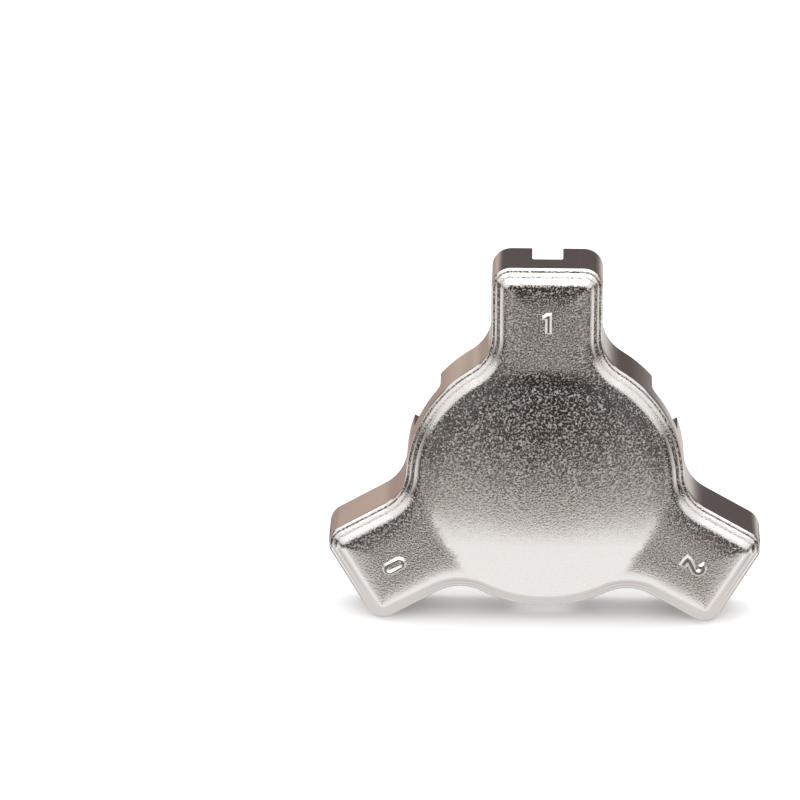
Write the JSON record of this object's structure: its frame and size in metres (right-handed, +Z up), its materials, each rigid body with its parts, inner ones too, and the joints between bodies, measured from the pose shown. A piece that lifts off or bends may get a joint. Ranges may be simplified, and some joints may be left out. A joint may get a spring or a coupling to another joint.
{
  "type": "spoke wrench",
  "caption": "Palm-size three-armed spoke wrench: a domed plated casting with a square nipple slot of its own width along each arm, spoke troughs and a central bowl.",
  "frame": {"origin": "middle of the wrench's box on the surface under it, where it stands on the ends of arms 0 and 2", "axes": "+Z up along arm 1, +Y out of the lands on the back, so that the domed front faces -Y, and +X to the right as seen from the front"},
  "size_m": [0.0472, 0.0094, 0.0415],
  "materials": {
    "nickel": "satin nickel plate over a cast steel body, with a fine cast grain"
  },
  "bodies": {
    "root": {"body": "nickel", "jaw_0_left": "nickel", "jaw_0_right": "nickel", "jaw_1_left": "nickel", "jaw_1_right": "nickel", "jaw_2_left": "nickel", "jaw_2_right": "nickel"}
  },
  "joints": []
}
